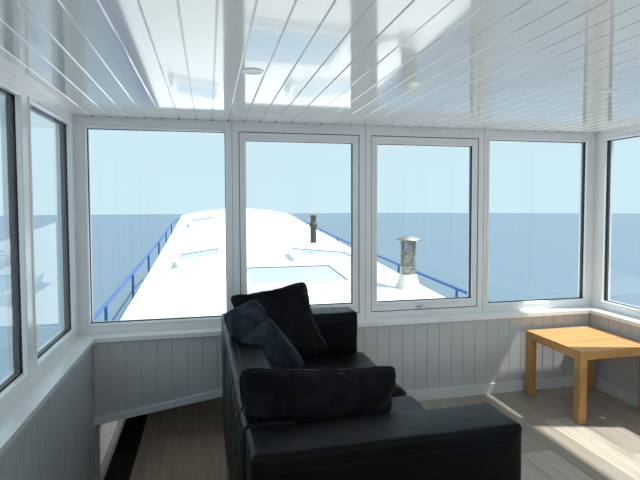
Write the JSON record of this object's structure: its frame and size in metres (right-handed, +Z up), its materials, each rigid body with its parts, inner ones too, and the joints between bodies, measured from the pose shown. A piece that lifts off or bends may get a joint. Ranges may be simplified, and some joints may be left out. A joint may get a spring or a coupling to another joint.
{
  "type": "houseboat",
  "caption": "Steel barge houseboat with a glazed deckhouse aft, long cambered cabin roof with rooflights, flue and vent cowl, opening sashes and door, rudder and propeller",
  "frame": {"origin": "under the middle of the flat bottom, halfway between stem and stern", "axes": "+X starboard, +Y bow, +Z up"},
  "size_m": [4.9, 24.9853, 4.085],
  "materials": {
    "hull_paint": "semi-gloss black paint on steel plate",
    "blue_paint": "semi-gloss blue paint",
    "deck_paint": "grey non-slip deck paint",
    "white_paint": "white satin paint",
    "floor_planks": "grey-brown laminate planks",
    "bronze": "dull bronze",
    "engine_iron": "enamelled cast iron",
    "rooflight_glass": "pale blue glazing",
    "flue_paint": "matt heat-proof paint",
    "galvanised": "weathered galvanised steel",
    "grey_boards": "grey painted tongue-and-groove boards",
    "white_plastic": "white window profile",
    "ceiling_planks": "glossy white plastic planks",
    "window_glass": "clear double glazing",
    "oak": "oiled oak",
    "black_leather": "blue-black leather",
    "charcoal_velvet": "charcoal velvet",
    "black_rubber": "black glazing gasket",
    "bright_steel": "polished handles, hinges and window rims"
  },
  "bodies": {
    "boat": {"hull": "hull_paint", "rubbing_strake": "blue_paint", "deck": "deck_paint", "saloon_sole": "floor_planks", "engine": "engine_iron", "cabin_walls": "white_paint", "cabin_roof": "white_paint", "rooflight_main_frame": "white_paint", "rooflight_main_glass": "rooflight_glass", "stove_flue": "flue_paint", "vent_cowl": "galvanised", "deckhouse_floor": "floor_planks", "lower_wall_front": "white_paint", "lower_wall_port": "white_paint", "lower_wall_starboard": "white_paint", "lower_wall_aft": "white_paint", "window_sill": "white_plastic", "companion_stair": "oak", "window_frame_front": "white_plastic", "window_frame_port": "white_plastic", "window_frame_starboard": "white_plastic", "window_frame_aft": "white_plastic", "glass_front_port": "window_glass", "glass_front_starboard": "window_glass", "glass_port": "window_glass", "glass_starboard": "window_glass", "glass_aft_port": "window_glass", "glass_aft_starboard": "window_glass", "deckhouse_ceiling": "ceiling_planks", "deckhouse_roof": "white_paint", "settee_frame": "black_leather", "seat_cushion_1": "black_leather", "seat_cushion_2": "black_leather", "scatter_cushion_far": "charcoal_velvet", "scatter_cushion_middle": "charcoal_velvet", "scatter_cushion_near": "charcoal_velvet", "oak_table": "oak", "rail_port": "blue_paint", "rail_starboard": "blue_paint", "bitts_stern_port": "hull_paint", "bitts_stern_starboard": "hull_paint", "bitts_bow_port": "hull_paint", "bitts_bow_starboard": "hull_paint", "windlass": "hull_paint", "aft_steps": "deck_paint"},
    "rudder_body": {"rudder": "hull_paint"},
    "propeller_body": {"propeller": "bronze"},
    "sash_port_body": {"sash_port": "white_plastic", "sash_port_glass": "window_glass"},
    "sash_starboard_body": {"sash_starboard": "white_plastic", "sash_starboard_glass": "window_glass"},
    "door_body": {"aft_door": "white_plastic", "aft_door_glass": "window_glass"},
    "lid_starboard_body": {"rooflight_starboard_frame": "white_paint", "rooflight_starboard_glass": "rooflight_glass"},
    "lid_port_body": {"rooflight_port_frame": "white_paint", "rooflight_port_glass": "rooflight_glass"},
    "lid_port_forward_body": {"rooflight_port_forward_frame": "white_paint", "rooflight_port_forward_glass": "rooflight_glass"}
  },
  "joints": [
    {"name": "rudder_turn", "type": "hinge", "parent": "boat", "child": "rudder_body", "pos_m": [0, -10.65, 0.5], "axis": [0, 0, 1], "range_deg": [-35, 35]},
    {"name": "propeller_spin", "type": "hinge", "parent": "boat", "child": "propeller_body", "pos_m": [0, -10.13, 0.42], "axis": [0, 1, 0], "continuous": true},
    {"name": "sash_port_hinge", "type": "hinge", "parent": "boat", "child": "sash_port_body", "pos_m": [-0.443, -5.529, 3.834], "axis": [1, 0, 0], "range_deg": [0, 30]},
    {"name": "sash_starboard_hinge", "type": "hinge", "parent": "boat", "child": "sash_starboard_body", "pos_m": [0.443, -5.529, 3.834], "axis": [1, 0, 0], "range_deg": [0, 30]},
    {"name": "door_hinge", "type": "hinge", "parent": "boat", "child": "door_body", "pos_m": [-0.403, -9.74, 2.95], "axis": [0, 0, -1], "range_deg": [0, 100]},
    {"name": "lid_starboard_hinge", "type": "hinge", "parent": "boat", "child": "lid_starboard_body", "pos_m": [0.77786, -0.50235, 2.57105], "axis": [-0.9954, 0, 0.0958], "range_deg": [0, 60]},
    {"name": "lid_port_hinge", "type": "hinge", "parent": "boat", "child": "lid_port_body", "pos_m": [-1.19199, -0.01238, 2.55106], "axis": [-0.9893, 0, -0.1459], "range_deg": [0, 60]},
    {"name": "lid_port_forward_hinge", "type": "hinge", "parent": "boat", "child": "lid_port_forward_body", "pos_m": [-1.21367, 6.15668, 2.96199], "axis": [-0.9889, 0, -0.1483], "range_deg": [0, 60]}
  ]
}
